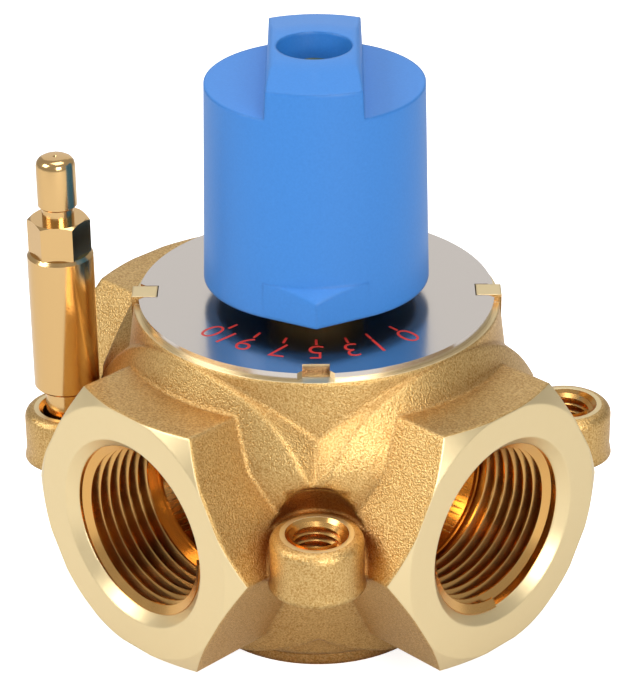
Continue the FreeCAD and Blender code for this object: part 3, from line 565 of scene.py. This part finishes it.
def face_finish(centre, normal):
    """Which finish a face of the forging has."""
    for axis in PORT_AXES.values():
        along = centre.dot(axis)
        off_axis = (centre - axis * along - UP * PORT_HEIGHT).length
        if along > PORT_HOLE_START and off_axis < PORT_HOLE_RADIUS:
            return MILLED if along > PORT_CHAMFER_START else CUT
        if along > PORT_FACE_START and normal.dot(axis) > 0.5:
            return MILLED
    for angle in BOSS_ANGLES:
        off_axis = (centre - boss_axis_point(angle, centre.z)).length
        if off_axis < BOSS_HOLE_RADIUS and BOSS_HOLE_START < centre.z < BOSS_RING_START:
            return CUT
        if off_axis < BOSS_RING_RADIUS and centre.z > BOSS_RING_START and normal.z > LEVEL:
            return MILLED
    if math.hypot(centre.x, centre.y) < CHAMBER_RADIUS and centre.z > CHAMBER_FLOOR:
        return CUT
    if centre.z < BASE_SKIN or centre.z > LUG_TOP_START and normal.z > LEVEL:
        return MILLED
    return BLASTED


counts = [0, 0, 0]
for face in valve_body.data.polygons:
    face.material_index = face_finish(face.center, face.normal)
    counts[face.material_index] += 1
finish_piece(valve_body, None, "casing")
print("faces blasted, milled, cut:", counts)

# %% [markdown]
# ## Threads
# A pipe thread is one ridge wound round the bore. Its section is drawn once as a small plane
# whose inner edge is narrowed to the crest, and a Screw modifier winds it up. The ends are
# filled, so the ridge is a closed solid. The right-hand turn is the Screw modifier's own.

# %% Wind the threads
FLANK_SHARE = 0.94
CREST_SHARE = 0.16
ROOT_OVERLAP = 0.1 * MM
STEPS_A_TURN = 72


def wound_ridge(name, crest, root, pitch, turns):
    """A thread's ridge, wound up Z from the origin."""
    bpy.ops.object.select_all(action="DESELECT")
    bpy.ops.mesh.primitive_plane_add(size=1, rotation=(math.pi / 2, 0, 0))
    ridge = bpy.context.object
    ridge.name = name
    ridge.location.x = (crest + root) / 2
    ridge.scale = (root - crest + ROOT_OVERLAP, pitch * FLANK_SHARE, 1)
    bake_place(ridge)
    bpy.ops.object.mode_set(mode="EDIT")
    bpy.ops.mesh.select_all(action="DESELECT")
    bpy.ops.object.mode_set(mode="OBJECT")
    for vertex in ridge.data.vertices:
        vertex.select = vertex.co.x < (crest + root) / 2
    bpy.ops.object.mode_set(mode="EDIT")
    bpy.ops.transform.resize(value=(1, 1, CREST_SHARE), center_override=(crest, 0, 0))
    bpy.ops.mesh.select_all(action="SELECT")
    bpy.ops.mesh.delete(type="ONLY_FACE")
    bpy.ops.object.mode_set(mode="OBJECT")
    apply_modifier(ridge, "SCREW", "winding", axis="Z", angle=2 * math.pi, screw_offset=pitch,
                   iterations=turns, steps=STEPS_A_TURN, render_steps=STEPS_A_TURN,
                   use_normal_calculate=True)
    on_whole_mesh(ridge, (bpy.ops.mesh.fill_holes, {"sides": 8}),
                  (bpy.ops.mesh.normals_make_consistent, {"inside": False}))
    soften(ridge, 40)
    return ridge


port_ridge = wound_ridge("port_thread", **PORT_THREAD)
for port, axis in PORT_AXES.items():
    thread = same_again(port_ridge, "port_thread_" + port)
    lay(thread, UP * PORT_HEIGHT + axis * (PORT_THREAD_FOOT + PORT_THREAD_LEAD), axis)
    finish_piece(thread, cut_brass, "casing")
bpy.data.objects.remove(port_ridge)

boss_ridge = wound_ridge("boss_thread", **BOSS_THREAD)
for angle in BOSS_ANGLES:
    if angle != BOSS_WITH_PIN:
        thread = same_again(boss_ridge, "boss_thread_%d" % angle)
        lay(thread, boss_axis_point(angle, BOSS_THREAD_FOOT + BOSS_THREAD_LEAD), UP)
        finish_piece(thread, cut_brass, "casing")
bpy.data.objects.remove(boss_ridge)

# %% [markdown]
# ## The knob's grip
# The grip bar on top of the knob has round long edges. Each edge is planed with three flat
# cuts, each turned further than the last, all touching the same round.

# %% Round the knob's grip bar
GRIP_ANGLE = math.radians(315)
GRIP_ROUNDING = 1.9 * MM
GRIP_TOP_HALF_WIDTH = 8.44 * MM
GRIP_LENGTH = 44 * MM
GRIP_CUTS = (22.5, 45, 67.5)
CUTTER_SIZE = 4 * MM


def round_grip(knob):
    """Plane the two long top edges of the grip bar to a round."""
    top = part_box("knob")[1][2]
    reach = GRIP_ROUNDING + CUTTER_SIZE / 2
    for side in (-1, 1):
        for tilt in GRIP_CUTS:
            lean = math.radians(tilt)
            bpy.ops.object.select_all(action="DESELECT")
            bpy.ops.mesh.primitive_cube_add(size=1)
            cutter = bpy.context.object
            cutter.scale = (GRIP_LENGTH, CUTTER_SIZE, CUTTER_SIZE)
            cutter.rotation_euler = (-side * lean, 0, 0)
            cutter.location = (0, side * (GRIP_TOP_HALF_WIDTH - GRIP_ROUNDING
                                          + reach * math.sin(lean)),
                               top - GRIP_ROUNDING + reach * math.cos(lean))
            bake_place(cutter)
            cutter.rotation_euler = (0, 0, GRIP_ANGLE)
            bake_place(cutter)
            combine(knob, cutter, "DIFFERENCE")
    print("grip rounded:", len(knob.data.polygons), "faces")


# %% [markdown]
# ## Knob, plate, screw and cover
# The CAD gives these their full shape. Its mesh comes as loose triangles, so each visible one
# is merged and shaded again, which gives clean highlights on the curves and crisp corners.

# %% Visible pieces that keep their CAD shape
CRISP_ABOVE = 30
for node, material, body, slot in (
        ("knob", blue_nylon, "rotor", "blue_nylon"),
        ("scale_plate", satin_steel, "casing", "scale_steel"),
        ("knob_screw", zinc_yellow, "rotor", "yellow_zinc_steel"),
        ("cover", blasted_brass, "casing", "turned_brass")):
    piece = copy_of_node(node, node + "_smooth")
    if node == "knob":
        round_grip(piece)
    soften(piece, CRISP_ABOVE)
    finish_piece(piece, material, body)

# %% [markdown]
# ## The upright pin
# The pin is one turned bar: a stud that screws into the boss, a stout barrel, a hexagon for the
# spanner, a neck and a domed head. Each step is the last ring extruded upwards and scaled to
# the next radius, which is how its outline is read off a drawing.

# %% Turn the pin
# Each pair is a radius and a height in millimetres, from the stud's foot to the head's top.
PIN_OUTLINE = ((4.25, 36.0), (4.25, 48.3), (5.6, 48.3), (6.2, 48.9), (6.2, 75.8), (5.6, 76.4),
               (3.0, 76.4), (3.0, 85.6), (3.3, 85.6), (3.65, 85.95), (3.65, 93.8), (3.5, 94.5),
               (3.1, 95.05), (2.5, 95.4), (1.9, 95.5), (0.4, 95.5), (0.05, 95.1))
# The hexagon's upper corners are turned off by a cone.
HEXAGON_FLATS = 10.2
HEXAGON_HEIGHT = 6.8
HEXAGON_MIDDLE = 79.8
HEXAGON_TURN = 15
HEXAGON_CONE = ((5.3 + 6.8 * 1.6, 76.4), (5.15, 83.2))


def turned_post(name, outline):
    """A solid of rings, each a radius and a height in millimetres, from the foot up."""
    bpy.ops.object.select_all(action="DESELECT")
    radius, height = outline[0]
    bpy.ops.mesh.primitive_circle_add(vertices=64, radius=radius * MM, fill_type="NGON",
                                      location=(0, 0, height * MM))
    post = bpy.context.object
    post.name = name
    bake_place(post)
    bpy.ops.object.mode_set(mode="EDIT")
    bpy.ops.mesh.select_mode(type="FACE")
    bpy.ops.mesh.select_all(action="SELECT")
    for next_radius, next_height in outline[1:]:
        rise = (next_height - height) * MM
        bpy.ops.mesh.extrude_region_move(TRANSFORM_OT_translate={"value": (0, 0, rise)})
        share = next_radius / radius
        bpy.ops.transform.resize(value=(share, share, 1), center_override=(0, 0, 0))
        radius, height = next_radius, next_height
    bpy.ops.object.mode_set(mode="OBJECT")
    on_whole_mesh(post, (bpy.ops.mesh.normals_make_consistent, {"inside": False}))
    return post


pin = turned_post("torque_pin_turned", PIN_OUTLINE)
bpy.ops.object.select_all(action="DESELECT")
bpy.ops.mesh.primitive_cylinder_add(vertices=6, radius=HEXAGON_FLATS / math.sqrt(3) * MM,
                                    depth=HEXAGON_HEIGHT * MM,
                                    location=(0, 0, HEXAGON_MIDDLE * MM),
                                    rotation=(0, 0, math.radians(HEXAGON_TURN)))
nut = bpy.context.object
bake_place(nut)
turning = turned_post("turning", HEXAGON_CONE)
combine(nut, turning, "INTERSECT")
combine(pin, nut, "UNION")
pin.location = boss_axis_point(BOSS_WITH_PIN, 0)
bake_place(pin)
soften(pin, CRISP_ABOVE)
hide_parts("torque_pin")
finish_piece(pin, turned_brass, "casing")

# %% [markdown]
# ## Pieces inside
# Seals, washers, screws and the rotor show only through the ports and the gaps, or not at all.
# They keep their CAD meshes and only get their finishes.

# %% Finishes of the pieces inside
INSIDE = {
    "cover_screws": spring_steel, "cover_seal": black_rubber, "spindle_lower_seal": black_rubber,
    "spindle_upper_seal": black_rubber, "floor_washer": white_polymer,
    "journal_bush": white_polymer, "thrust_washer": white_polymer, "spindle_bush": white_polymer,
    "spring_washer": spring_steel, "plate_clip": spring_steel, "knob_washer": zinc_yellow,
    "spindle": turned_brass, "sector": cut_brass,
}
for node, material in INSIDE.items():
    target = frame["nodes"][node]
    target.data.materials.clear()
    target.data.materials.append(material)
    print(node, "is", material.name)

# %% [markdown]
# ## Printed scale
# The scale runs from 0 to 10 over a quarter turn, with most room near the ends. Its numerals
# are printed with their tops outwards, each with a short tick nearer the knob. Text is made a
# mesh, sized to the printed height, and laid on the plate.

# %% Printed scale
SCALE = {"5": -45, "3": -30, "1": -18.5, "0": -3.5, "7": -60.5, "9": -75.5, "10": -91}
NUMERAL_HEIGHT = 4.9 * MM
NUMERAL_RADIUS = 25.1 * MM
TICK_RADIUS = 21.2 * MM
TICK_SIZE = (0.5 * MM, 2.2 * MM)
INK = 0.03 * MM
plate_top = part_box("scale_plate")[1][2]


def place_on_plate(mark, radius, angle):
    """Turn a flat mark so that its top points outwards, and lay it on the plate."""
    turn = math.radians(angle)
    mark.rotation_euler = (0, 0, turn - math.pi / 2)
    mark.location = (radius * math.cos(turn), radius * math.sin(turn), plate_top)
    bake_place(mark)


marks = []
for numeral, angle in SCALE.items():
    bpy.ops.object.select_all(action="DESELECT")
    bpy.ops.object.text_add()
    text = bpy.context.object
    text.data.body = numeral
    text.data.align_x = "CENTER"
    text.data.align_y = "CENTER"
    text.data.offset = -0.012
    text.data.extrude = 0.5
    bpy.ops.object.convert(target="MESH")
    mark = bpy.context.object
    bpy.ops.object.origin_set(type="ORIGIN_GEOMETRY", center="BOUNDS")
    ratio = NUMERAL_HEIGHT / mark.dimensions.y
    mark.scale = (ratio, ratio, INK)
    place_on_plate(mark, NUMERAL_RADIUS, angle)
    marks.append(mark)
    bpy.ops.object.select_all(action="DESELECT")
    bpy.ops.mesh.primitive_cube_add(size=1)
    tick = bpy.context.object
    tick.scale = (*TICK_SIZE, INK)
    place_on_plate(tick, TICK_RADIUS, angle)
    marks.append(tick)
choose(marks[0])
for mark in marks:
    mark.select_set(True)
bpy.ops.object.join()
printed_scale = bpy.context.object
printed_scale.name = "printed_scale"
finish_piece(printed_scale, red_enamel, "casing")

# %% [markdown]
# ## Floor and light
# A white floor, a soft light on each side, one above, and a wide weak one behind. The floor
# glows only where the camera looks straight at it, so it stays white under the valve, while
# the brass mirrors a darker floor and keeps its colour.

# %% Floor
bpy.ops.object.select_all(action="DESELECT")
bpy.ops.mesh.primitive_plane_add(size=6)
floor = bpy.context.object
floor.name = "floor"
floor_paint, tree, shader = new_material("studio_paper", "E2E2E2", 0.0, 0.9)
shader.inputs["Emission Color"].default_value = linear("FFFFFF")
seen = add_node(tree, "ShaderNodeLightPath").outputs["Is Camera Ray"]
glow = add_node(tree, "ShaderNodeMapRange", {"To Min": 0.02, "To Max": 0.80}, {"Value": seen})
tree.links.new(glow.outputs["Result"], shader.inputs["Emission Strength"])
floor.data.materials.append(floor_paint)

# %% Light
world = bpy.data.worlds.new("studio")
bpy.context.scene.world = world
world.use_nodes = True
world.node_tree.nodes["Background"].inputs["Color"].default_value = linear("FFFFFF")
world.node_tree.nodes["Background"].inputs["Strength"].default_value = 0.42
AIM = Vector((0, 0, 0.05))
for name, place, size, energy in (
        ("key_left", (-0.30, -0.60, 0.62), 0.40, 3.5),
        ("side_right", (0.72, -0.30, 0.45), 0.36, 4.3),
        ("top", (0.00, 0.10, 0.90), 0.50, 2.8),
        ("behind", (-0.85, 0.85, 0.50), 1.00, 1.35)):
    light = bpy.data.lights.new(name, "AREA")
    light.size = size
    light.energy = energy
    lamp = bpy.data.objects.new(name, light)
    bpy.context.scene.collection.objects.link(lamp)
    lamp.location = place
    lamp.rotation_euler = (AIM - lamp.location).to_track_quat("-Z", "Y").to_euler()
    print("light", name, energy, "W")
